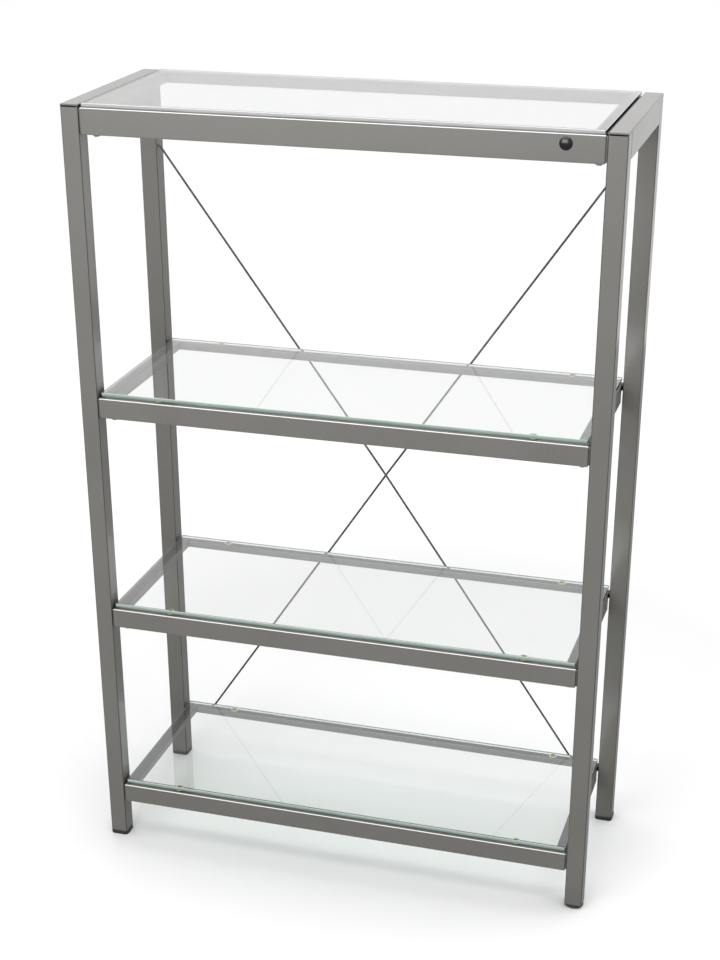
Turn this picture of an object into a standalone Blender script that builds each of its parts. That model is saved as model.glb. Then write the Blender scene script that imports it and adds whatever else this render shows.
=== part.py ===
"""Free-standing display shelf: a steel-tube frame, four glass shelves and crossed tie rods.

Metres, +Z up. The origin is on the floor under the middle of the frame, and the front faces -Y.
"""
from collections import namedtuple

import bmesh
import bpy
from mathutils import Vector

MM = 0.001
LEFT, RIGHT = -1, 1
FRONT, REAR = -1, 1
SIDES = {"left": LEFT, "right": RIGHT}
ENDS = {"front": FRONT, "rear": REAR}
X, Y, Z = 0, 1, 2

# Overall frame
WIDTH = 730 * MM
DEPTH = 276 * MM
POST_HEIGHT = 1088 * MM
FOOT_LIFT = 6 * MM
FIT = 0.3 * MM
OVERRUN = 5 * MM

# Square tube of the two side frames
POST = 25 * MM
POST_WALL = 1.5 * MM
POST_CORNER = 1.5 * MM
SIDE_RAIL_HEIGHT = 36 * MM
SIDE_RAIL_WALL = 2 * MM
SLOT_WIDTH = 22 * MM
SLOT_HEIGHT = 1.6 * MM

# Rails of the four shelf frames
RAIL_GAP = 2.5 * MM
RAIL_CORNER = 1.2 * MM
FRONT_RAIL_DEPTH = 15 * MM
FRONT_RAIL_WALL = 1.5 * MM
REAR_RAIL_DEPTH = 12 * MM
REAR_RAIL_WALL = 1.2 * MM
REAR_RAIL_INSET = 6 * MM
END_RAIL_WIDTH = 15 * MM
END_RAIL_SHEET = 1.5 * MM
END_RAIL_FOLD = 1.5 * MM

# Tube stubs on the posts that the rails slide over
SPIGOT_REACH = 34 * MM
SPIGOT_WALL = 1.5 * MM
SPIGOT_ROOT = 1 * MM

# Each level: the rails' top above the post's foot, rail heights, and the glass above the rails
Level = namedtuple("Level", "top front_height rear_height glass_lift")
LEVELS = {
    "top": Level(1084.1 * MM, 34 * MM, 14.5 * MM, FIT),
    "upper": Level(696 * MM, 28 * MM, 10.5 * MM, 2 * MM),
    "middle": Level(377.5 * MM, 28 * MM, 10.5 * MM, 2 * MM),
    "bottom": Level(83.5 * MM, 28 * MM, 10.5 * MM, 2 * MM),
}
SHELVES = ("upper", "middle", "bottom")

# Glass
GLASS = 5 * MM
GLASS_ARRIS = 0.5 * MM
SHELF_GLASS_HALF_WIDTH = 336 * MM
TOP_GLASS_HALF_WIDTH = 337 * MM
SHELF_GLASS_FRONT = -133.4 * MM
TOP_GLASS_FRONT = -136 * MM
SHELF_GLASS_REAR = 131.6 * MM
TOP_GLASS_REAR = 135 * MM

# Soft pads with a stem, plugged into the rails
PAD_AT = {
    "left_front": (-253 * MM, -127.5 * MM),
    "left_rear": (-258 * MM, 126 * MM),
    "right_front": (264 * MM, -127.5 * MM),
    "right_rear": (267 * MM, 126 * MM),
}
PAD_RADIUS = 5.8 * MM
PAD_STEM_RADIUS = 2.2 * MM
PAD_STEM_LENGTH = 12 * MM
PAD_HOLLOW_RADIUS = 2.6 * MM
PAD_HOLLOW_DEPTH = 0.8 * MM
PAD_STEPS = 16

# Frame screws under the front rails
SCREW_X = {"left": -319 * MM, "right": 330 * MM}
SCREW_Y = -130.5 * MM
SCREW_HEAD_RADIUS = 4.4 * MM
SCREW_HEAD_HEIGHT = 2.1 * MM
SCREW_SHANK_RADIUS = 2 * MM
SCREW_SHANK_LENGTH = 8 * MM
SCREW_SOCKET_RADIUS = 1.3 * MM
SCREW_SOCKET_DEPTH = 1.4 * MM
SCREW_STEPS = 12

# Domed cap in the face of the top front rail
CAP_X = 290.4 * MM
CAP_Z = 1072.4 * MM
CAP_RADIUS = 8 * MM
CAP_DOME = 2.2 * MM
CAP_STEM_RADIUS = 5 * MM
CAP_STEM_LENGTH = 7 * MM
CAP_STEPS = 32

# Square push-in feet, and the screw-in glide of the front right post
FOOT_HEAD = 26.5 * MM
FOOT_CORNER = 5 * MM
PLUG_HEIGHT = 14 * MM
PLUG_WALL = 2 * MM
PLUG_CORNER = 1.2 * MM
FLANGE_TOP = -FIT
FLANGE_BOTTOM = -2 * MM
GLIDE_RADIUS = 13.25 * MM
GLIDE_TOP = -2.3 * MM
GLIDE_EDGE = 1 * MM
STUD_RADIUS = 4 * MM
STUD_TOP = 28 * MM
GLIDE_STEPS = 32

# Tie rods behind the shelves
ROD_RADIUS = 1.5 * MM
ROD_HOLE_RADIUS = 2.3 * MM
ROD_Y = 133.7 * MM
ROD_TOP_Y = 118 * MM
ROD_LOW_Y = 124 * MM
ROD_TIP = 6 * MM
ROD_SHOULDER_LIFT = 45 * MM
ROD_CROSSING = (-6 * MM, 520 * MM)
ROD_LOW_Z = 78 * MM
ROD_BEND = 3 * MM
ROD_BEND_STEPS = 4
# Each rod: side and height of its upper end, x where it leans forward above the upper shelf,
# x of its lower hook, and y where the rods cross
Rod = namedtuple("Rod", "side top_z shoulder_x low_x crossing_y")
RODS = {
    "tie_rod_left_to_right": Rod(LEFT, 987.5 * MM, -166.9 * MM, 297.9 * MM, 132.2 * MM),
    "tie_rod_right_to_left": Rod(RIGHT, 1021 * MM, 144.9 * MM, -301.3 * MM, 135.6 * MM),
}

# Finish: base colour, roughness, metallic, alpha
FINISHES = {
    "grey_paint": ((0.235, 0.23, 0.22), 0.42, 0.0, 1.0),
    "glass": ((0.72, 0.87, 0.80), 0.04, 0.0, 0.3),
    "clear_pvc": ((0.70, 0.74, 0.52), 0.25, 0.0, 0.8),
    "black_gloss": ((0.012, 0.012, 0.013), 0.12, 0.0, 1.0),
    "black_plastic": ((0.02, 0.02, 0.021), 0.5, 0.0, 1.0),
    "zinc": ((0.55, 0.56, 0.57), 0.3, 1.0, 1.0),
    "dark_zinc": ((0.12, 0.12, 0.12), 0.35, 1.0, 1.0),
}


def clear_scene():
    for item in list(bpy.data.objects):
        bpy.data.objects.remove(item, do_unlink=True)


def make_collection(name):
    collection = bpy.data.collections.new(name)
    bpy.context.scene.collection.children.link(collection)
    return collection


def give_finish(item, finish):
    """Give a part its own Principled material."""
    color, roughness, metallic, alpha = FINISHES[finish]
    material = bpy.data.materials.new(f"{item.name}_{finish}")
    material.use_nodes = True
    shader = material.node_tree.nodes["Principled BSDF"]
    shader.inputs["Base Color"].default_value = (*color, 1.0)
    shader.inputs["Roughness"].default_value = roughness
    shader.inputs["Metallic"].default_value = metallic
    shader.inputs["Alpha"].default_value = alpha
    item.data.materials.append(material)
    item.material_slots[0].link = "OBJECT"
    item.material_slots[0].material = material


def add_part(name, mesh, location, finish):
    item = bpy.data.objects.new(name, mesh)
    item.location = location
    parts.objects.link(item)
    give_finish(item, finish)
    return item


def add_cutter(name, shapes):
    """Join (shape, centre) pairs into one hidden object for Boolean modifiers."""
    joined = bmesh.new()
    for shape, centre in shapes:
        bmesh.ops.translate(shape, vec=centre, verts=shape.verts)
        piece = bpy.data.meshes.new(name)
        shape.to_mesh(piece)
        shape.free()
        joined.from_mesh(piece)
        bpy.data.meshes.remove(piece)
    item = bpy.data.objects.new(name, finished_mesh(name, joined))
    item.hide_render = True
    item.display_type = "WIRE"
    cutters.objects.link(item)
    return item


def boolean(item, operation, cutter):
    modifier = item.modifiers.new(cutter.name, "BOOLEAN")
    modifier.operation = operation
    modifier.solver = "EXACT"
    modifier.object = cutter


def finished_mesh(name, shape):
    mesh = bpy.data.meshes.new(name)
    shape.to_mesh(mesh)
    shape.free()
    return mesh


def block(size, axis=Z, corner=0.0, segments=3):
    """A box centred on the origin, with its four edges along one axis rounded."""
    shape = bmesh.new()
    bmesh.ops.create_cube(shape, size=1.0)
    bmesh.ops.scale(shape, vec=size, verts=shape.verts)
    if corner:
        along = [
            edge for edge in shape.edges
            if abs(edge.verts[0].co[axis] - edge.verts[1].co[axis]) > size[axis] / 2
        ]
        bmesh.ops.bevel(
            shape, geom=along, offset=corner, offset_type="OFFSET",
            segments=segments, profile=0.5, affect="EDGES",
        )
    return shape


def drill(radius, length, axis=Z, segments=20):
    """A cylinder centred on the origin, along one axis."""
    shape = bmesh.new()
    bmesh.ops.create_cone(
        shape, cap_ends=True, segments=segments, radius1=radius, radius2=radius, depth=length,
    )
    along = Vector([float(index == axis) for index in (X, Y, Z)])
    turned = Vector((0, 0, 1)).rotation_difference(along).to_matrix()
    bmesh.ops.rotate(shape, matrix=turned, verts=shape.verts)
    return shape


def span(low, high):
    """The centre and the length between two values."""
    return (low + high) / 2, high - low


def turned_profile(name, profile):
    """A mesh of one open outline, (radius, height) from its top on the axis to its bottom."""
    shape = bmesh.new()
    corners = [shape.verts.new((radius, 0, height)) for radius, height in profile]
    for upper, lower in zip(corners, corners[1:]):
        shape.edges.new((upper, lower))
    return finished_mesh(name, shape)


def turn(item, steps):
    modifier = item.modifiers.new("turned", "SCREW")
    modifier.axis = "Z"
    modifier.steps = steps
    modifier.render_steps = steps
    modifier.use_merge_vertices = True
    modifier.merge_threshold = 0.00001
    modifier.use_smooth_shade = True


def post_centre(side, end):
    return side * (WIDTH - POST) / 2, end * (DEPTH - POST) / 2


def rail_section(level, end):
    """Centre y, depth, height and wall of a front or rear rail."""
    if end == FRONT:
        return -DEPTH / 2 + FRONT_RAIL_DEPTH / 2, FRONT_RAIL_DEPTH, level.front_height, FRONT_RAIL_WALL
    centre = DEPTH / 2 - REAR_RAIL_INSET - REAR_RAIL_DEPTH / 2
    return centre, REAR_RAIL_DEPTH, level.rear_height, REAR_RAIL_WALL


def rail_half_length():
    return WIDTH / 2 - POST - RAIL_GAP


def make_post(side_name, end_name):
    """A square tube with one welded spigot for each rail that meets it."""
    side, end = SIDES[side_name], ENDS[end_name]
    name = f"{side_name}_{end_name}_post"
    x, y = post_centre(side, end)
    top = FOOT_LIFT + POST_HEIGHT - SIDE_RAIL_WALL - FIT
    centre_z, length = span(FOOT_LIFT, top)
    shape = block((POST, POST, length), Z, POST_CORNER)
    post = add_part(name, finished_mesh(name, shape), (x, y, centre_z), "grey_paint")

    face = side * (WIDTH / 2 - POST)
    outer, inner, screw_holes = [], [], []
    for level in LEVELS.values():
        rail_y, depth, height, wall = rail_section(level, end)
        rail_z = FOOT_LIFT + level.top - height / 2
        spigot_depth = depth - 2 * (wall + FIT)
        spigot_height = height - 2 * (wall + FIT)
        root_x, root_length = span(-SPIGOT_ROOT, SPIGOT_REACH)
        outer.append((
            block((root_length, spigot_depth, spigot_height), X, RAIL_CORNER / 2, 2),
            (face - side * root_x, rail_y, rail_z),
        ))
        bore_x, bore_length = span(SPIGOT_WALL / 2, SPIGOT_REACH + OVERRUN)
        inner.append((
            block((bore_length, spigot_depth - 2 * SPIGOT_WALL, spigot_height - 2 * SPIGOT_WALL)),
            (face - side * bore_x, rail_y, rail_z),
        ))
        screw_holes.append((
            drill(SCREW_SHANK_RADIUS + FIT, OVERRUN),
            (SCREW_X[side_name], SCREW_Y, rail_z - spigot_height / 2),
        ))
    boolean(post, "UNION", add_cutter(f"{name}_spigots", outer))

    bore = POST - 2 * POST_WALL
    inner.append((
        block((bore, bore, length + 2 * OVERRUN), Z, POST_CORNER - POST_WALL, 2),
        (x, y, centre_z),
    ))
    boolean(post, "DIFFERENCE", add_cutter(f"{name}_bores", inner))

    slot_y, slot_depth = span((DEPTH - POST) / 2, DEPTH / 2 + OVERRUN)
    slot_z, slot_height = span(top - SLOT_HEIGHT, top + OVERRUN)
    slot = block((SLOT_WIDTH, slot_depth, slot_height))
    boolean(post, "DIFFERENCE", add_cutter(f"{name}_slot", [(slot, (x, end * slot_y, slot_z))]))
    if end == FRONT:
        boolean(post, "DIFFERENCE", add_cutter(f"{name}_screw_holes", screw_holes))
    for rod in RODS.values():
        if end == REAR and rod.side == side:
            hole = drill(ROD_HOLE_RADIUS, 2 * OVERRUN, X)
            at = (face, ROD_TOP_Y, FOOT_LIFT + rod.top_z)
            boolean(post, "DIFFERENCE", add_cutter(f"{name}_rod_hole", [(hole, at)]))


def make_side_rail(side_name):
    """Top rail of a side frame: its upper wall runs on over both posts as a tongue."""
    side = SIDES[side_name]
    name = f"{side_name}_top_rail"
    x = side * (WIDTH - POST) / 2
    top = FOOT_LIFT + POST_HEIGHT
    centre_z = top - SIDE_RAIL_HEIGHT / 2
    shape = block((POST, DEPTH, SIDE_RAIL_HEIGHT), Y, POST_CORNER)
    rail = add_part(name, finished_mesh(name, shape), (x, 0, centre_z), "grey_paint")

    bore_width = POST - 2 * SIDE_RAIL_WALL
    bore_height = SIDE_RAIL_HEIGHT - 2 * SIDE_RAIL_WALL
    bore_corner = max(POST_CORNER - SIDE_RAIL_WALL, 0)
    bore = block((bore_width, DEPTH + 2 * OVERRUN, bore_height), Y, bore_corner, 2)
    boolean(rail, "DIFFERENCE", add_cutter(f"{name}_bore", [(bore, (x, 0, centre_z))]))

    notch_y, notch_depth = span(DEPTH / 2 - POST - FIT, DEPTH / 2 + OVERRUN)
    low = top - SIDE_RAIL_HEIGHT - OVERRUN
    notch_z, notch_height = span(low, top - SIDE_RAIL_WALL)
    notches = []
    for end in ENDS.values():
        notch = block((POST + 2 * OVERRUN, notch_depth, notch_height))
        notches.append((notch, (x, end * notch_y, notch_z)))
    boolean(rail, "DIFFERENCE", add_cutter(f"{name}_notches", notches))


def make_long_rail(level_name, end_name):
    """Front or rear rail of one shelf frame: a tube with its holes."""
    level, end = LEVELS[level_name], ENDS[end_name]
    name = f"{level_name}_{end_name}_rail"
    y, depth, height, wall = rail_section(level, end)
    centre_z = FOOT_LIFT + level.top - height / 2
    length = 2 * rail_half_length()
    shape = block((length, depth, height), X, RAIL_CORNER)
    rail = add_part(name, finished_mesh(name, shape), (0, y, centre_z), "grey_paint")
    bore_corner = max(RAIL_CORNER - wall, 0)
    bore = block((length + 2 * OVERRUN, depth - 2 * wall, height - 2 * wall), X, bore_corner, 1)
    boolean(rail, "DIFFERENCE", add_cutter(f"{name}_bore", [(bore, (0, y, centre_z))]))

    holes = []
    if level_name in SHELVES:
        pad_z = FOOT_LIFT + level.top
        pad_length = OVERRUN
        if end == REAR:
            pad_z = centre_z
            pad_length = height + OVERRUN
        for side_name in SIDES:
            pad_hole = drill(PAD_STEM_RADIUS + FIT, pad_length)
            holes.append((pad_hole, (*PAD_AT[f"{side_name}_{end_name}"], pad_z)))
    if end == FRONT:
        for screw_x in SCREW_X.values():
            screw_hole = drill(SCREW_SHANK_RADIUS + FIT, OVERRUN)
            holes.append((screw_hole, (screw_x, SCREW_Y, centre_z - height / 2)))
    if name == "top_front_rail":
        cap_hole = drill(CAP_STEM_RADIUS + FIT, OVERRUN, Y, CAP_STEPS)
        holes.append((cap_hole, (CAP_X, -DEPTH / 2, FOOT_LIFT + CAP_Z)))
    if name == "bottom_rear_rail":
        for rod in RODS.values():
            rod_hole = drill(ROD_HOLE_RADIUS, OVERRUN, Y)
            holes.append((rod_hole, (rod.low_x, y + depth / 2, FOOT_LIFT + ROD_LOW_Z)))
    if holes:
        boolean(rail, "DIFFERENCE", add_cutter(f"{name}_holes", holes))


def make_end_rail(level_name, side_name):
    """Folded channel between front and rear rail: a deep outer leg and a short inner one."""
    level, side = LEVELS[level_name], SIDES[side_name]
    name = f"{level_name}_{side_name}_end_rail"
    front_back = -DEPTH / 2 + FRONT_RAIL_DEPTH + FIT
    rear_front = DEPTH / 2 - REAR_RAIL_INSET - REAR_RAIL_DEPTH - FIT
    y, length = span(front_back, rear_front)
    x = side * (rail_half_length() - END_RAIL_WIDTH / 2)
    centre_z = FOOT_LIFT + level.top - level.front_height / 2
    shape = block((END_RAIL_WIDTH, length, level.front_height), Y, END_RAIL_FOLD, 2)
    rail = add_part(name, finished_mesh(name, shape), (x, y, centre_z), "grey_paint")

    low = FOOT_LIFT + level.top - level.front_height - OVERRUN
    under_z, under_height = span(low, FOOT_LIFT + level.top - END_RAIL_SHEET)
    under = block((END_RAIL_WIDTH - 2 * END_RAIL_SHEET, length + 2 * OVERRUN, under_height))
    boolean(rail, "DIFFERENCE", add_cutter(f"{name}_channel", [(under, (x, y, under_z))]))

    leg_x = side * (rail_half_length() - END_RAIL_WIDTH)
    leg_z, leg_height = span(low, FOOT_LIFT + level.top - level.rear_height)
    leg = block((4 * END_RAIL_SHEET, length + 2 * OVERRUN, leg_height))
    boolean(rail, "DIFFERENCE", add_cutter(f"{name}_short_leg", [(leg, (leg_x, y, leg_z))]))


def make_glass(level_name):
    level = LEVELS[level_name]
    half_width, front, rear = SHELF_GLASS_HALF_WIDTH, SHELF_GLASS_FRONT, SHELF_GLASS_REAR
    if level_name == "top":
        half_width, front, rear = TOP_GLASS_HALF_WIDTH, TOP_GLASS_FRONT, TOP_GLASS_REAR
    y, depth = span(front, rear)
    z = FOOT_LIFT + level.top + level.glass_lift + GLASS / 2
    name = f"{level_name}_glass"
    glass = add_part(name, finished_mesh(name, block((2 * half_width, depth, GLASS))), (0, y, z), "glass")
    arris = glass.modifiers.new("arris", "BEVEL")
    arris.width = GLASS_ARRIS
    arris.segments = 1


def make_pads():
    """Soft buttons under the glass, hollow on top; their stems go down through the rail."""
    head = LEVELS["upper"].glass_lift - 2 * FIT
    mesh = turned_profile("pad", [
        (0, head - PAD_HOLLOW_DEPTH), (PAD_HOLLOW_RADIUS - PAD_HOLLOW_DEPTH, head - PAD_HOLLOW_DEPTH),
        (PAD_HOLLOW_RADIUS, head), (PAD_RADIUS - head / 2, head), (PAD_RADIUS, head / 2), (PAD_RADIUS, 0),
        (PAD_STEM_RADIUS, 0), (PAD_STEM_RADIUS, 1 * MM - PAD_STEM_LENGTH),
        (PAD_STEM_RADIUS / 2, -PAD_STEM_LENGTH), (0, -PAD_STEM_LENGTH),
    ])
    for level_name in SHELVES:
        for corner, (x, y) in PAD_AT.items():
            at = (x, y, FOOT_LIFT + LEVELS[level_name].top + FIT)
            turn(add_part(f"{level_name}_{corner}_pad", mesh.copy(), at, "clear_pvc"), PAD_STEPS)


def make_screws():
    """Low pan-head screws, pointing up through the front rails into the spigots."""
    socket = SCREW_SOCKET_DEPTH - SCREW_HEAD_HEIGHT
    mesh = turned_profile("frame_screw", [
        (0, SCREW_SHANK_LENGTH), (SCREW_SHANK_RADIUS - 0.5 * MM, SCREW_SHANK_LENGTH),
        (SCREW_SHANK_RADIUS, SCREW_SHANK_LENGTH - 0.5 * MM), (SCREW_SHANK_RADIUS, 0),
        (SCREW_HEAD_RADIUS, 0), (SCREW_HEAD_RADIUS, -SCREW_HEAD_HEIGHT / 2),
        (SCREW_HEAD_RADIUS - 0.8 * MM, -SCREW_HEAD_HEIGHT), (SCREW_SOCKET_RADIUS, -SCREW_HEAD_HEIGHT),
        (SCREW_SOCKET_RADIUS, socket), (0, socket),
    ])
    for level_name, level in LEVELS.items():
        for side_name in SIDES:
            at = (SCREW_X[side_name], SCREW_Y, FOOT_LIFT + level.top - level.front_height - FIT)
            name = f"{level_name}_{side_name}_screw"
            turn(add_part(name, mesh.copy(), at, "zinc"), SCREW_STEPS)


def make_cap():
    """Domed round plug, pushed into the top front rail from the front."""
    dome = [
        (0, CAP_DOME), (CAP_RADIUS * 0.4, CAP_DOME * 0.93), (CAP_RADIUS * 0.7, CAP_DOME * 0.72),
        (CAP_RADIUS * 0.9, CAP_DOME * 0.42), (CAP_RADIUS, 0.3 * MM), (CAP_RADIUS, 0),
    ]
    stem = [(CAP_STEM_RADIUS, 0), (CAP_STEM_RADIUS, -CAP_STEM_LENGTH), (0, -CAP_STEM_LENGTH)]
    mesh = turned_profile("front_cap", dome + stem)
    at = (CAP_X, -DEPTH / 2 - FIT, FOOT_LIFT + CAP_Z)
    cap = add_part("front_cap", mesh, at, "black_gloss")
    cap.rotation_mode = "QUATERNION"
    cap.rotation_quaternion = Vector((0, 0, 1)).rotation_difference(Vector((0, -1, 0)))
    turn(cap, CAP_STEPS)


def plug_width():
    return POST - 2 * (POST_WALL + FIT)


def make_square_foot(side_name, end_name):
    """Push-in foot: a rounded square head and a hollow plug inside the post."""
    x, y = post_centre(SIDES[side_name], ENDS[end_name])
    name = f"{side_name}_{end_name}_foot"
    head_z, head_height = span(0, FOOT_LIFT - FIT)
    shape = block((FOOT_HEAD, FOOT_HEAD, head_height), Z, FOOT_CORNER, 4)
    foot = add_part(name, finished_mesh(name, shape), (x, y, head_z), "black_plastic")
    plug_z, plug_height = span(head_height / 2, FOOT_LIFT + PLUG_HEIGHT)
    plug = block((plug_width(), plug_width(), plug_height), Z, PLUG_CORNER, 2)
    boolean(foot, "UNION", add_cutter(f"{name}_plug", [(plug, (x, y, plug_z))]))
    hollow_width = plug_width() - 2 * PLUG_WALL
    hollow_z, hollow_height = span(FOOT_LIFT, FOOT_LIFT + PLUG_HEIGHT + OVERRUN)
    hollow = block((hollow_width, hollow_width, hollow_height))
    boolean(foot, "DIFFERENCE", add_cutter(f"{name}_hollow", [(hollow, (x, y, hollow_z))]))


def make_levelling_glide():
    """Threaded plug in the front right post, and the glide that screws up into it."""
    x, y = post_centre(RIGHT, FRONT)
    name = "right_front_threaded_insert"
    flange_z, flange_height = span(FOOT_LIFT + FLANGE_BOTTOM, FOOT_LIFT + FLANGE_TOP)
    shape = block((POST, POST, flange_height), Z, POST_CORNER)
    insert = add_part(name, finished_mesh(name, shape), (x, y, flange_z), "black_plastic")
    plug_z, plug_height = span(flange_z, FOOT_LIFT + PLUG_HEIGHT)
    plug = block((plug_width(), plug_width(), plug_height), Z, PLUG_CORNER, 2)
    boolean(insert, "UNION", add_cutter(f"{name}_plug", [(plug, (x, y, plug_z))]))
    thread = drill(STUD_RADIUS + FIT, 2 * (PLUG_HEIGHT + OVERRUN), Z, GLIDE_STEPS)
    boolean(insert, "DIFFERENCE", add_cutter(f"{name}_thread", [(thread, (x, y, FOOT_LIFT))]))

    top = FOOT_LIFT + GLIDE_TOP
    mesh = turned_profile("right_front_levelling_glide", [
        (0, FOOT_LIFT + STUD_TOP), (STUD_RADIUS - GLIDE_EDGE, FOOT_LIFT + STUD_TOP),
        (STUD_RADIUS, FOOT_LIFT + STUD_TOP - GLIDE_EDGE), (STUD_RADIUS, top),
        (GLIDE_RADIUS - GLIDE_EDGE, top), (GLIDE_RADIUS, top - GLIDE_EDGE),
        (GLIDE_RADIUS, GLIDE_EDGE), (GLIDE_RADIUS - GLIDE_EDGE, 0), (0, 0),
    ])
    glide = add_part("right_front_levelling_glide", mesh, (x, y, 0), "black_plastic")
    turn(glide, GLIDE_STEPS)


def rounded_path(corners, radius, steps):
    """Points along straight runs, with each corner replaced by a short quadratic bend."""
    points = [corners[0]]
    for before, corner, after in zip(corners, corners[1:], corners[2:]):
        start = corner + (before - corner).normalized() * radius
        end = corner + (after - corner).normalized() * radius
        for step in range(steps + 1):
            t = step / steps
            points.append(start * (1 - t) ** 2 + corner * 2 * t * (1 - t) + end * t ** 2)
    points.append(corners[-1])
    return points


def make_rod(name, rod):
    """A wire from a hole in a rear post, across the back, into the bottom rear rail."""
    face = rod.side * (WIDTH / 2 - POST)
    top = Vector((face, 0, FOOT_LIFT + rod.top_z))
    crossing = Vector((ROD_CROSSING[0], 0, FOOT_LIFT + ROD_CROSSING[1]))
    low = Vector((rod.low_x, 0, FOOT_LIFT + ROD_LOW_Z))
    shoulder_z = FOOT_LIFT + LEVELS["upper"].top + ROD_SHOULDER_LIFT
    shoulder = Vector((rod.shoulder_x, ROD_Y, shoulder_z))

    def on(start, end, height, y):
        point = start.lerp(end, (height - start.z) / (end.z - start.z))
        return Vector((point.x, y, height))

    upper_rail = FOOT_LIFT + LEVELS["upper"].top
    middle_rail = FOOT_LIFT + LEVELS["middle"].top
    knee = low.z + 2 * ROD_TIP
    corners = [
        Vector((face + rod.side * ROD_TIP, ROD_TOP_Y, top.z)),
        Vector((face - rod.side * ROD_TIP / 2, ROD_TOP_Y, top.z)),
        shoulder,
        on(shoulder, crossing, upper_rail, ROD_Y),
        Vector((crossing.x, rod.crossing_y, crossing.z)),
        on(crossing, low, middle_rail - 3 * ROD_TIP, ROD_Y),
        on(crossing, low, knee, ROD_Y),
        Vector((low.x, ROD_Y, low.z)),
        Vector((low.x, ROD_LOW_Y, low.z)),
    ]
    curve = bpy.data.curves.new(name, "CURVE")
    curve.dimensions = "3D"
    curve.bevel_depth = ROD_RADIUS
    curve.bevel_resolution = 4
    curve.use_fill_caps = True
    points = rounded_path(corners, ROD_BEND, ROD_BEND_STEPS)
    spline = curve.splines.new("POLY")
    spline.points.add(len(points) - 1)
    for target, point in zip(spline.points, points):
        target.co = (*point, 1.0)
    add_part(name, curve, (0, 0, 0), "dark_zinc")


clear_scene()
parts = make_collection("display_shelf")
cutters = make_collection("display_shelf_cutters")

for side_label in SIDES:
    for end_label in ENDS:
        make_post(side_label, end_label)
    make_side_rail(side_label)
for level_label in LEVELS:
    for end_label in ENDS:
        make_long_rail(level_label, end_label)
    for side_label in SIDES:
        make_end_rail(level_label, side_label)
    make_glass(level_label)
make_pads()
make_screws()
make_cap()
for corner in (("left", "front"), ("left", "rear"), ("right", "rear")):
    make_square_foot(*corner)
make_levelling_glide()
for rod_name, rod_spec in RODS.items():
    make_rod(rod_name, rod_spec)
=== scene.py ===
"""Looks of the glass display shelf: painted steel, clear glass with green edges, pads and rods.

Metres, +Z up. Colours are linear red, green and blue.
"""

import math

import bmesh
import bpy
from mathutils import Matrix, Vector


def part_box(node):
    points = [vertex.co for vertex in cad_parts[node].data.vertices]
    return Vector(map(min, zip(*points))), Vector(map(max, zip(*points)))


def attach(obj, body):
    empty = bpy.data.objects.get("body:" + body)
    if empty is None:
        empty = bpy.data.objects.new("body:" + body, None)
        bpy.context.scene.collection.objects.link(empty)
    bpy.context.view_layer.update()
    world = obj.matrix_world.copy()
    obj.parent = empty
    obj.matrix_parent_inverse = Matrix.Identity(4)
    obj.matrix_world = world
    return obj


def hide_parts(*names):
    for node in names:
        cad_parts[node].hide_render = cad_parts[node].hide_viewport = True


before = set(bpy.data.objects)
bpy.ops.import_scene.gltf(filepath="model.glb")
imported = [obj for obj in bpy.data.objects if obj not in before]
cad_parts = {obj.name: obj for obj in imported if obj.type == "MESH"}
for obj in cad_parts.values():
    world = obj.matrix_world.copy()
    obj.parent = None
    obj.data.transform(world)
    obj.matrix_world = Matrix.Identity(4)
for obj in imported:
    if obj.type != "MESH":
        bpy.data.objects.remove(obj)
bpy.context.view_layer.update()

MM = 0.001
LEVELS = ("top", "upper", "middle", "bottom")

# Paint of the steel frame
PAINT_MOTTLE = ((0.115, 0.111, 0.102), (0.137, 0.133, 0.123))
PAINT_FLECK = (0.2, 0.196, 0.184)
# Painted highlight on the upper front edges of the frame
PAINT_EDGE_HIGHLIGHT = (0.80, 0.80, 0.78)
# Painted shade down the side-facing rounded corners
PAINT_CORNER_SHADE = (0.02, 0.02, 0.018)
# Painted shade in narrow gaps between pieces, and how far it reaches
PAINT_GAP_SHADE = (0.004, 0.004, 0.004)
GAP_SHADE_REACH = 7 * MM

# Glass: tint, and the colours of a ground edge from its lower (0) to its upper arris (1): painted shade
# at the lower arris, a painted highlight at the upper arris, the edge's own colour between
GLASS_IOR = 1.52
GLASS_TINT = ((0.875, 0.888, 0.881), (0.898, 0.908, 0.902))
GLASS_SHADOW_TINT = (0.93, 0.965, 0.95)
GLASS_CORNER = 1.5 * MM
GLASS_ARRIS = 0.5 * MM
GREEN_EDGE_WITH_PAINTED_LIGHT = (
    (0.0, (0.11, 0.145, 0.125)), (0.3, (0.15, 0.20, 0.17)), (0.5, (0.25, 0.33, 0.285)),
    (0.8, (0.23, 0.30, 0.26)), (1.0, (0.48, 0.56, 0.52)),
)
GREEN_STREAK = (0.33, 0.43, 0.375)
# The top panel's edge: the same glass, painted a paler grey for the light that falls on it
PALE_EDGE_PAINTED_LIGHT = (
    (0.0, (0.10, 0.10, 0.10)), (0.25, (0.20, 0.20, 0.20)), (0.4, (0.32, 0.325, 0.32)),
    (0.85, (0.33, 0.335, 0.33)), (1.0, (0.9, 0.9, 0.9)),
)
PALE_STREAK = (0.36, 0.365, 0.36)
# Painted shade on the rear edges and on the side edges in the gaps beside the frame
EDGE_REAR_SHADE = (0.10, 0.105, 0.102)
EDGE_SIDE_SHADE = (0.02, 0.026, 0.023)

# Pads
PAD_HEAD = 1.4 * MM
PAD_STEM = 2.2 * MM
PAD_RING = ((0.24, 0.26, 0.10), (0.46, 0.48, 0.26))
# Painted shade in the button's hollow
PAD_HOLLOW_SHADE = (0.03, 0.035, 0.012)
# Painted shade on the button's lower skirt
PAD_SKIRT_SHADE = (0.07, 0.085, 0.045)
PAD_STEPS = 48

# Meshes: corners sharper than these stay hard
WELD_DISTANCE = 0.005 * MM
FRAME_SMOOTH_ANGLE = math.radians(35)
SMALL_SMOOTH_ANGLE = math.radians(50)

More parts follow.
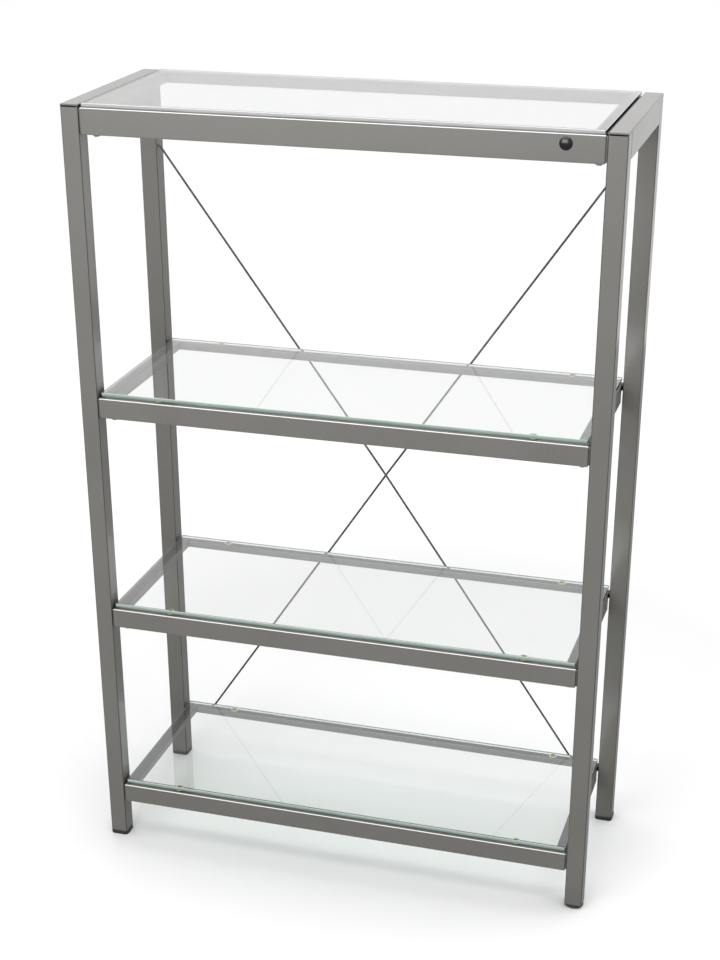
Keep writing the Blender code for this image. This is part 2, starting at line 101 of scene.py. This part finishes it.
# Floor: a faint shade behind the shelf that fades out between two distances
FLOOR_RADIUS = 400.0
FLOOR_SHADE = ((0.65, 0.65, 0.65), (0.67, 0.67, 0.67))
FLOOR_OPEN = (0.78, 0.78, 0.78)
FLOOR_SHADE_AT = (0, 0.45, 0)
FLOOR_SHADE_FADE = (0.55, 0.95)

# Lamps: place, aim, size and watts of each softbox
SUN_STRENGTH = 1.7
SUN_SPREAD = math.radians(60)
SOFTBOXES = {
    "right_key": ((0.95, 0.1, 0.95), (0.36, 0.05, 0.75), (0.5, 1.3), 2.5),
    "rear_rim": ((0.62, 1.8, 0.7), (0.37, 0, 0.8), (0.3, 0.9), 0.6),
    "front_fill": ((-1.0, -4.0, 1.6), (0, 0, 0.6), (3.0, 2.0), 98),
    "top_strip": ((0, -0.7, 1.75), (0, -0.1, 1.09), (1.3, 0.25), 4),
}
SKY_FRONT_TO_REAR = (0.45, 1.0)
SKY_BELOW_TO_ABOVE = (0.3, 1.0)

# Camera
CAMERA_AT = (0.696, -2.345, 1.5226)
CAMERA_YAW = 0.3018
CAMERA_PITCH = 0.4636
CAMERA_ROLL = -0.0064
CAMERA_LENS = 69.29
CAMERA_SHIFT = (0.0181, 0.177)


# ---------------------------------------------------------------- node helpers

def new_material(name):
    """A material with a Principled shader; returns it, its node tree and the shader."""
    material = bpy.data.materials.new(name)
    material.use_nodes = True
    tree = material.node_tree
    return material, tree, tree.nodes["Principled BSDF"]


def add(tree, kind, **settings):
    """A node, with its properties set by name, and inputs set by in_NAME or in_NUMBER."""
    node = tree.nodes.new(kind)
    for key, value in settings.items():
        if key.startswith("in_"):
            key = key[3:]
            socket = node.inputs[int(key)] if key.isdigit() else node.inputs[key.replace("_", " ")]
            socket.default_value = value
        else:
            setattr(node, key, value)
    return node


def link(tree, output, socket):
    tree.links.new(output, socket)


def object_point(tree):
    """The surface point in the piece's own frame, so that a pattern moves with its piece."""
    return add(tree, "ShaderNodeTexCoord").outputs["Object"]


def noise(tree, point, scale, detail=3.0, roughness=0.5, stretch=(1, 1, 1)):
    mapping = add(tree, "ShaderNodeMapping")
    mapping.inputs["Scale"].default_value = stretch
    link(tree, point, mapping.inputs["Vector"])
    texture = add(tree, "ShaderNodeTexNoise", in_Scale=scale, in_Detail=detail, in_Roughness=roughness)
    link(tree, mapping.outputs["Vector"], texture.inputs["Vector"])
    return texture.outputs["Fac"]


def spread(tree, value, low, high, source=(0.3, 0.7)):
    """Maps a noise value to a range."""
    node = add(tree, "ShaderNodeMapRange")
    for key, number in zip(("From Min", "From Max", "To Min", "To Max"), (*source, low, high)):
        node.inputs[key].default_value = number
    link(tree, value, node.inputs["Value"])
    return node.outputs["Result"]


def blend_colors(tree, share, first, second):
    """First colour where share is 0, second where it is 1; each is a colour or a socket."""
    node = add(tree, "ShaderNodeMix", data_type="RGBA")
    link(tree, share, node.inputs["Factor"])
    for index, color in ((6, first), (7, second)):
        if isinstance(color, bpy.types.NodeSocket):
            link(tree, color, node.inputs[index])
        else:
            node.inputs[index].default_value = (*color, 1.0)
    return node.outputs[2]


def bump(tree, height, strength, distance):
    node = add(tree, "ShaderNodeBump", in_Strength=strength, in_Distance=distance)
    link(tree, height, node.inputs["Height"])
    return node.outputs["Normal"]


def edge_wear(tree, radius, low, high):
    """1 along sharp and rounded edges, 0 on flats: how far a blurred normal leaves the true one."""
    rounded = add(tree, "ShaderNodeBevel", samples=4, in_Radius=radius)
    true = add(tree, "ShaderNodeNewGeometry")
    dot = add(tree, "ShaderNodeVectorMath", operation="DOT_PRODUCT")
    link(tree, rounded.outputs["Normal"], dot.inputs[0])
    link(tree, true.outputs["Normal"], dot.inputs[1])
    return spread(tree, dot.outputs["Value"], 1.0, 0.0, (low, high))


def gap_shade_mask(tree, reach):
    """Painted shade mask from ambient occlusion: 1 in the open, 0 deep in a narrow gap between pieces.
    """
    shade = add(tree, "ShaderNodeAmbientOcclusion", samples=8, in_Distance=reach)
    return spread(tree, shade.outputs["AO"], 0.0, 1.0, (0.35, 0.85))


def facing(tree, axis, low, high):
    """0 to 1 as the surface turns from one share of an axis direction to another."""
    split = add(tree, "ShaderNodeSeparateXYZ")
    link(tree, add(tree, "ShaderNodeNewGeometry").outputs["Normal"], split.inputs["Vector"])
    return spread(tree, split.outputs[axis], 0.0, 1.0, (low, high))


def combine(tree, operation, first, second):
    """Two values through one math operation."""
    node = add(tree, "ShaderNodeMath", operation=operation)
    link(tree, first, node.inputs[0])
    link(tree, second, node.inputs[1])
    return node.outputs["Value"]


def sideways(tree, low, high):
    """0 to 1 as the surface turns to the left or to the right."""
    return combine(tree, "MAXIMUM", facing(tree, "X", low, high), facing(tree, "X", -low, -high))


# ---------------------------------------------------------------- materials

def painted_steel():
    """Warm grey satin powder coat: mottled, with a painted highlight on the upper front edges, painted
    shade down the side corners and in the gaps between pieces.
    """
    material, tree, shader = new_material("satin_grey_paint")
    point = object_point(tree)
    mottle = noise(tree, point, 9.0, 4.0)
    speck = noise(tree, point, 900.0, 2.0)
    base = blend_colors(tree, mottle, *PAINT_MOTTLE)
    flecked = blend_colors(tree, spread(tree, speck, 0.0, 1.0, (0.62, 0.8)), base, PAINT_FLECK)
    # Painted highlight along the upper front edges, standing in for the overhead light they catch
    upper_edge_highlight_mask = combine(tree, "MULTIPLY", facing(tree, "Z", 0.15, 0.4), facing(tree, "Y", -0.1, -0.35))
    highlighted = blend_colors(tree, upper_edge_highlight_mask, flecked, PAINT_EDGE_HIGHLIGHT)
    # Painted shade on rounded corners that face sideways
    front = facing(tree, "Y", -0.25, -0.6)
    front_or_rear = combine(tree, "MAXIMUM", front, facing(tree, "Y", 0.25, 0.6))
    not_side = combine(tree, "MAXIMUM", front_or_rear, facing(tree, "Z", 0.25, 0.6))
    corner_shade_mask = combine(tree, "MULTIPLY", not_side, sideways(tree, 0.25, 0.6))
    corner_shaded = blend_colors(tree, corner_shade_mask, highlighted, PAINT_CORNER_SHADE)
    # Painted shade in the gaps between pieces
    gap_shaded_paint = blend_colors(tree, gap_shade_mask(tree, GAP_SHADE_REACH), PAINT_GAP_SHADE, corner_shaded)
    link(tree, gap_shaded_paint, shader.inputs["Base Color"])
    link(tree, spread(tree, mottle, 0.40, 0.50), shader.inputs["Roughness"])
    peel = noise(tree, point, 1500.0, 2.0)
    link(tree, bump(tree, peel, 0.12, 0.05 * MM), shader.inputs["Normal"])
    shader.inputs["Coat Weight"].default_value = 0.8
    shader.inputs["Coat Roughness"].default_value = 0.16
    return material


def clear_glass():
    """Faces of the panels: clear, faintly green, with lamps let through."""
    material, tree, shader = new_material("clear_float_glass")
    shader.inputs["Transmission Weight"].default_value = 1.0
    shader.inputs["IOR"].default_value = GLASS_IOR
    shader.inputs["Roughness"].default_value = 0.0
    point = object_point(tree)
    smudge = noise(tree, point, 7.0, 5.0, 0.6)
    tint = blend_colors(tree, smudge, *GLASS_TINT)
    link(tree, tint, shader.inputs["Base Color"])
    wave = noise(tree, point, 3.0, 1.0)
    link(tree, bump(tree, wave, 0.02, 0.2 * MM), shader.inputs["Normal"])
    let_lamps_through(tree, shader, GLASS_SHADOW_TINT)
    return material


def let_lamps_through(tree, shader, tint):
    """Shadow rays pass, tinted, so that what is behind the glass is lit."""
    path = add(tree, "ShaderNodeLightPath")
    clear = add(tree, "ShaderNodeBsdfTransparent")
    clear.inputs["Color"].default_value = (*tint, 1.0)
    mix = add(tree, "ShaderNodeMixShader")
    link(tree, path.outputs["Is Shadow Ray"], mix.inputs[0])
    link(tree, shader.outputs["BSDF"], mix.inputs[1])
    link(tree, clear.outputs["BSDF"], mix.inputs[2])
    link(tree, mix.outputs["Shader"], tree.nodes["Material Output"].inputs["Surface"])


def glass_edge(name, thickness, stops, streak_color):
    """Ground edge of a panel: colours from its lower to its upper arris, with painted shade at the
    lower arris, on the rear and on the sides, and a painted highlight at the upper arris.
    """
    material, tree, shader = new_material(name)
    point = object_point(tree)
    split = add(tree, "ShaderNodeSeparateXYZ")
    link(tree, point, split.inputs["Vector"])
    # Painted shade at the lower arris and a painted highlight at the upper arris, from the stops
    ramp = add(tree, "ShaderNodeValToRGB")
    link(tree, spread(tree, split.outputs["Z"], 0.0, 1.0, (0.0, thickness)), ramp.inputs["Fac"])
    while len(ramp.color_ramp.elements) < len(stops):
        ramp.color_ramp.elements.new(0.5)
    for element, (place, color) in zip(ramp.color_ramp.elements, stops):
        element.position = place
        element.color = (*color, 1.0)
    streak = noise(tree, point, 14.0, 3.0, stretch=(1, 1, 0.1))
    lighter = blend_colors(tree, spread(tree, streak, 0.0, 0.4), ramp.outputs["Color"], streak_color)
    # Painted shade on rear-facing and side-facing edges
    back = facing(tree, "Y", 0.2, 0.5)
    rear_shaded = blend_colors(tree, back, lighter, EDGE_REAR_SHADE)
    sides_shaded = blend_colors(tree, sideways(tree, 0.3, 0.8), rear_shaded, EDGE_SIDE_SHADE)
    link(tree, sides_shaded, shader.inputs["Base Color"])
    link(tree, spread(tree, streak, 0.08, 0.2), shader.inputs["Roughness"])
    link(tree, spread(tree, back, 0.5, 0.05, (0.0, 1.0)), shader.inputs["Specular IOR Level"])
    return material


def soft_pvc(radius):
    """Yellow-green buttons: a pale ring, with painted shade in the hollow and on the lower skirts."""
    material, tree, shader = new_material("translucent_pvc")
    point = object_point(tree)
    cloud = noise(tree, point, 300.0, 3.0)
    ring = blend_colors(tree, cloud, *PAD_RING)
    flat = add(tree, "ShaderNodeVectorMath", operation="MULTIPLY")
    flat.inputs[1].default_value = (1, 1, 0)
    link(tree, point, flat.inputs[0])
    out = add(tree, "ShaderNodeVectorMath", operation="LENGTH")
    link(tree, flat.outputs["Vector"], out.inputs[0])
    # Painted shade in the hollow at the middle of the button
    middle = spread(tree, out.outputs["Value"], 1.0, 0.0, (0.5 * radius, 0.62 * radius))
    hollow = blend_colors(tree, middle, ring, PAD_HOLLOW_SHADE)
    split = add(tree, "ShaderNodeSeparateXYZ")
    link(tree, point, split.inputs["Vector"])
    # Painted shade on the lower skirt of the button
    low = spread(tree, split.outputs["Z"], 1.0, 0.0, (0.1 * MM, 0.8 * MM))
    link(tree, blend_colors(tree, low, hollow, PAD_SKIRT_SHADE), shader.inputs["Base Color"])
    link(tree, spread(tree, cloud, 0.18, 0.32), shader.inputs["Roughness"])
    link(tree, bump(tree, noise(tree, point, 500.0), 0.1, 0.05 * MM), shader.inputs["Normal"])
    return material


def black_gloss():
    """Polished moulded cap."""
    material, tree, shader = new_material("gloss_black_plastic")
    point = object_point(tree)
    haze = noise(tree, point, 220.0, 3.0)
    tone = blend_colors(tree, haze, (0.008, 0.008, 0.009), (0.018, 0.018, 0.02))
    link(tree, tone, shader.inputs["Base Color"])
    link(tree, spread(tree, haze, 0.12, 0.2), shader.inputs["Roughness"])
    link(tree, bump(tree, haze, 0.05, 0.1 * MM), shader.inputs["Normal"])
    return material


def black_plastic():
    """Moulded feet: fine grain, scuffed paler along the edges."""
    material, tree, shader = new_material("grained_black_plastic")
    point = object_point(tree)
    grain = noise(tree, point, 1800.0, 2.0)
    scuff = noise(tree, point, 90.0, 4.0)
    base = blend_colors(tree, scuff, (0.014, 0.014, 0.015), (0.032, 0.032, 0.034))
    worn = blend_colors(tree, edge_wear(tree, 0.8 * MM, 0.9, 0.995), base, (0.075, 0.075, 0.078))
    link(tree, worn, shader.inputs["Base Color"])
    link(tree, spread(tree, scuff, 0.42, 0.6), shader.inputs["Roughness"])
    link(tree, bump(tree, grain, 0.25, 0.08 * MM), shader.inputs["Normal"])
    return material


def plated_steel(name, dark, light, roughness):
    """Zinc-plated steel: cloudy tone and fine scratches."""
    material, tree, shader = new_material(name)
    point = object_point(tree)
    cloud = noise(tree, point, 60.0, 4.0)
    link(tree, blend_colors(tree, cloud, dark, light), shader.inputs["Base Color"])
    link(tree, spread(tree, cloud, roughness - 0.06, roughness + 0.08), shader.inputs["Roughness"])
    shader.inputs["Metallic"].default_value = 0.9
    scratch = noise(tree, point, 700.0, 2.0, stretch=(1, 1, 0.15))
    link(tree, bump(tree, scratch, 0.15, 0.03 * MM), shader.inputs["Normal"])
    return material


def pale_floor():
    """Plain matt floor with a painted shade behind the shelf that fades out with distance, very
    slightly uneven within it.
    """
    material, tree, shader = new_material("pale_floor")
    point = object_point(tree)
    away = add(tree, "ShaderNodeVectorMath", operation="DISTANCE", in_1=FLOOR_SHADE_AT)
    link(tree, point, away.inputs[0])
    # Painted shade on the floor behind the shelf, fading to the open floor colour
    shade_near_shelf = blend_colors(tree, noise(tree, point, 0.8), *FLOOR_SHADE)
    far = spread(tree, away.outputs["Value"], 0.0, 1.0, FLOOR_SHADE_FADE)
    link(tree, blend_colors(tree, far, shade_near_shelf, FLOOR_OPEN), shader.inputs["Base Color"])
    shader.inputs["Roughness"].default_value = 0.9
    return material


# ---------------------------------------------------------------- mesh helpers

def rounding_group(angle):
    """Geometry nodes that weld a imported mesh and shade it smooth, sharp only at hard edges."""
    group = bpy.data.node_groups.new("weld_and_smooth", "GeometryNodeTree")
    group.interface.new_socket("Geometry", in_out="INPUT", socket_type="NodeSocketGeometry")
    group.interface.new_socket("Geometry", in_out="OUTPUT", socket_type="NodeSocketGeometry")
    start = group.nodes.new("NodeGroupInput")
    end = group.nodes.new("NodeGroupOutput")
    weld = group.nodes.new("GeometryNodeMergeByDistance")
    weld.inputs["Distance"].default_value = WELD_DISTANCE
    smooth = group.nodes.new("GeometryNodeSetShadeSmooth")
    smooth.domain = "FACE"
    sharp = group.nodes.new("GeometryNodeSetShadeSmooth")
    sharp.domain = "EDGE"
    sharp.inputs["Shade Smooth"].default_value = False
    edge = group.nodes.new("GeometryNodeInputMeshEdgeAngle")
    wide = group.nodes.new("FunctionNodeCompare")
    wide.data_type = "FLOAT"
    wide.operation = "GREATER_THAN"
    wide.inputs["B"].default_value = angle
    group.links.new(edge.outputs["Unsigned Angle"], wide.inputs["A"])
    group.links.new(wide.outputs["Result"], sharp.inputs["Selection"])
    group.links.new(start.outputs["Geometry"], weld.inputs["Geometry"])
    group.links.new(weld.outputs["Geometry"], smooth.inputs["Geometry"])
    group.links.new(smooth.outputs["Geometry"], sharp.inputs["Geometry"])
    group.links.new(sharp.outputs["Geometry"], end.inputs["Geometry"])
    return group


def round_off(node, group, weighted=True):
    """Smooth shading for a CAD node; weighted normals keep its flats flat."""
    modifier = node.modifiers.new("weld_and_smooth", "NODES")
    modifier.node_group = group
    if weighted:
        flats = node.modifiers.new("flats_stay_flat", "WEIGHTED_NORMAL")
        flats.keep_sharp = True
        flats.weight = 100


def dress(node, material):
    """Give a CAD node its material."""
    node.data.materials.clear()
    node.data.materials.append(material)


# ---------------------------------------------------------------- pieces

def glass_panel(level, faces, rim):
    """A panel with softly ground arrises; its rim takes the edge material."""
    low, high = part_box(f"{level}_glass")
    size = high - low
    shape = bmesh.new()
    bmesh.ops.create_cube(shape, size=1.0)
    bmesh.ops.scale(shape, vec=size, verts=shape.verts)
    bmesh.ops.translate(shape, vec=(0, 0, size.z / 2), verts=shape.verts)
    uprights = [e for e in shape.edges if abs(e.verts[0].co.z - e.verts[1].co.z) > size.z / 2]
    bmesh.ops.bevel(shape, geom=uprights, offset=GLASS_CORNER, segments=4, profile=0.5, affect="EDGES")
    around = [e for e in shape.edges if abs(e.verts[0].co.z - e.verts[1].co.z) < 0.1 * MM
              and len({round(f.normal.z) for f in e.link_faces}) == 2]
    bmesh.ops.bevel(shape, geom=around, offset=GLASS_ARRIS, segments=2, profile=0.5, affect="EDGES")
    shape.normal_update()
    for face in shape.faces:
        face.material_index = 0 if abs(face.normal.z) > 0.999 else 1
    mesh = bpy.data.meshes.new(f"{level}_glass_panel")
    shape.to_mesh(mesh)
    shape.free()
    mesh.materials.append(faces)
    mesh.materials.append(rim)
    panel = bpy.data.objects.new(f"{level}_glass_panel", mesh)
    panel.location = ((low.x + high.x) / 2, (low.y + high.y) / 2, low.z)
    bpy.context.scene.collection.objects.link(panel)
    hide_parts(f"{level}_glass")
    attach(panel, f"{level}_shelf")


def dress_frame():
    """Paint for the posts and rails."""
    paint = painted_steel()
    group = rounding_group(FRAME_SMOOTH_ANGLE)
    for name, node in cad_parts.items():
        if name.endswith(("_post", "_rail")):
            dress(node, paint)
            round_off(node, group)


def dress_small_parts():
    """Looks of the screws, feet, insert, glide, cap and rods, by the ending of the node's name."""
    group = rounding_group(SMALL_SMOOTH_ANGLE)
    feet = black_plastic()
    zinc = plated_steel("zinc_plated_steel", (0.50, 0.51, 0.52), (0.68, 0.69, 0.70), 0.28)
    rod = plated_steel("dull_rod_steel", (0.07, 0.07, 0.07), (0.13, 0.13, 0.13), 0.34)
    looks = {
        "_screw": (zinc, "zinc_steel"),
        "_foot": (feet, "black_plastic"),
        "_insert": (feet, "black_plastic"),
        "_glide": (feet, "black_plastic"),
        "_cap": (black_gloss(), "black_gloss_plastic"),
        "left_to_right": (rod, "dark_zinc_steel"),
        "right_to_left": (rod, "dark_zinc_steel"),
    }
    for name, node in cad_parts.items():
        for ending, (material, slot) in looks.items():
            if name.endswith(ending):
                dress(node, material)
                round_off(node, group, weighted=False)
                node.visible_glossy = material is not rod


def glaze():
    """Panels: the three lower ones show green edges, the top one the same glass painted with a paler
    grey edge for the light falling on it.
    """
    faces = clear_glass()
    low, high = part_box("top_glass")
    green = glass_edge("green_glass_edge", high.z - low.z, GREEN_EDGE_WITH_PAINTED_LIGHT, GREEN_STREAK)
    # The top panel's edge is painted paler, as lit, rather than green
    pale = glass_edge("pale_lit_glass_edge", high.z - low.z, PALE_EDGE_PAINTED_LIGHT, PALE_STREAK)
    for level in LEVELS:
        glass_panel(level, faces, pale if level == "top" else green)


def pad_button(node, material):
    """A turned button with a hollow top, on the spot of one CAD pad."""
    low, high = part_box(node.name)
    radius = (high.x - low.x) / 2
    depth = high.z - low.z - PAD_HEAD
    hollow = [
        (0.0, PAD_HEAD - 0.8 * MM), (1.6 * MM, PAD_HEAD - 0.8 * MM), (2.1 * MM, PAD_HEAD - 0.55 * MM),
        (2.6 * MM, PAD_HEAD - 0.1 * MM), (3.0 * MM, PAD_HEAD),
    ]
    rim = [
        (radius - 1.0 * MM, PAD_HEAD), (radius - 0.4 * MM, PAD_HEAD - 0.15 * MM),
        (radius - 0.1 * MM, PAD_HEAD - 0.5 * MM), (radius, 0.5 * MM),
        (radius - 0.15 * MM, 0.1 * MM), (radius - 0.5 * MM, 0.0),
    ]
    stem = [
        (PAD_STEM + 0.3 * MM, 0.0), (PAD_STEM, -0.4 * MM), (PAD_STEM, 1.0 * MM - depth),
        (PAD_STEM / 2, -depth), (0.0, -depth),
    ]
    button = turned(f"{node.name}_button", hollow + rim + stem, PAD_STEPS)
    button.location = ((low.x + high.x) / 2, (low.y + high.y) / 2, high.z - PAD_HEAD)
    button.data.materials.append(material)
    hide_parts(node.name)
    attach(button, "frame")


def fit_pads():
    """A turned button in place of each CAD pad."""
    pads = [node for name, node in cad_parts.items() if name.endswith("_pad")]
    low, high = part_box(pads[0].name)
    pvc = soft_pvc((high.x - low.x) / 2)
    for node in pads:
        pad_button(node, pvc)


def turned(name, outline, steps):
    """A smooth body of revolution from (radius, height) pairs, top centre to bottom centre."""
    shape = bmesh.new()
    rings = []
    for radius, height in outline:
        count = 1 if radius == 0.0 else steps
        rings.append([shape.verts.new((radius * math.cos(math.tau * i / steps),
                                       radius * math.sin(math.tau * i / steps), height))
                      for i in range(count)])
    for upper, lower in zip(rings, rings[1:]):
        for i in range(steps):
            j = (i + 1) % steps
            corners = [upper[i % len(upper)], lower[i % len(lower)]]
            corners += [lower[j % len(lower)], upper[j % len(upper)]]
            shape.faces.new(list(dict.fromkeys(corners)))
    mesh = bpy.data.meshes.new(name)
    shape.to_mesh(mesh)
    shape.free()
    mesh.shade_smooth()
    mesh.set_sharp_from_angle(angle=SMALL_SMOOTH_ANGLE)
    item = bpy.data.objects.new(name, mesh)
    bpy.context.scene.collection.objects.link(item)
    return item


# ---------------------------------------------------------------- studio

def make_floor():
    """A wide round floor, left out of mirror reflections so that the paint's lower parts stay dark."""
    bpy.ops.mesh.primitive_circle_add(vertices=96, radius=FLOOR_RADIUS, fill_type="NGON")
    floor = bpy.context.object
    floor.name = "floor"
    floor.data.materials.append(pale_floor())
    floor.visible_glossy = False


def softbox(name, at, look_at, size, power):
    lamp = bpy.data.lights.new(name, "AREA")
    lamp.shape = "RECTANGLE"
    lamp.size, lamp.size_y = size
    lamp.energy = power
    item = bpy.data.objects.new(name, lamp)
    item.location = at
    item.rotation_euler = (Vector(look_at) - Vector(at)).to_track_quat("-Z", "Y").to_euler()
    item.visible_camera = False
    bpy.context.scene.collection.objects.link(item)


def light_studio():
    """White surroundings, brighter behind and above the shelf, an overhead lamp and softboxes."""
    world = bpy.data.worlds.new("studio")
    world.use_nodes = True
    tree = world.node_tree
    direction = add(tree, "ShaderNodeSeparateXYZ")
    link(tree, add(tree, "ShaderNodeTexCoord").outputs["Generated"], direction.inputs["Vector"])
    background = tree.nodes["Background"]
    background.inputs["Color"].default_value = (1.0, 1.0, 1.0, 1.0)
    behind = spread(tree, direction.outputs["Y"], *SKY_FRONT_TO_REAR, (-0.3, 0.3))
    above = spread(tree, direction.outputs["Z"], *SKY_BELOW_TO_ABOVE, (-0.1, -0.02))
    link(tree, combine(tree, "MULTIPLY", behind, above), background.inputs["Strength"])
    bpy.context.scene.world = world
    sun = bpy.data.lights.new("overhead", "SUN")
    sun.energy = SUN_STRENGTH
    sun.angle = SUN_SPREAD
    bpy.context.scene.collection.objects.link(bpy.data.objects.new("overhead", sun))
    for name, settings in SOFTBOXES.items():
        softbox(name, *settings)


def make_camera():
    camera = bpy.data.objects.new("camera", bpy.data.cameras.new("camera"))
    camera.data.lens = CAMERA_LENS
    camera.data.sensor_width = 36.0
    camera.data.shift_x, camera.data.shift_y = CAMERA_SHIFT
    turn = Matrix.Rotation(CAMERA_YAW, 4, "Z") @ Matrix.Rotation(math.pi / 2 - CAMERA_PITCH, 4, "X")
    camera.matrix_world = Matrix.Translation(CAMERA_AT) @ turn @ Matrix.Rotation(CAMERA_ROLL, 4, "Z")
    bpy.context.scene.collection.objects.link(camera)
    bpy.context.scene.camera = camera


dress_frame()
dress_small_parts()
glaze()
fit_pads()
make_floor()
light_studio()
make_camera()
bpy.context.scene.view_settings.view_transform = "Standard"
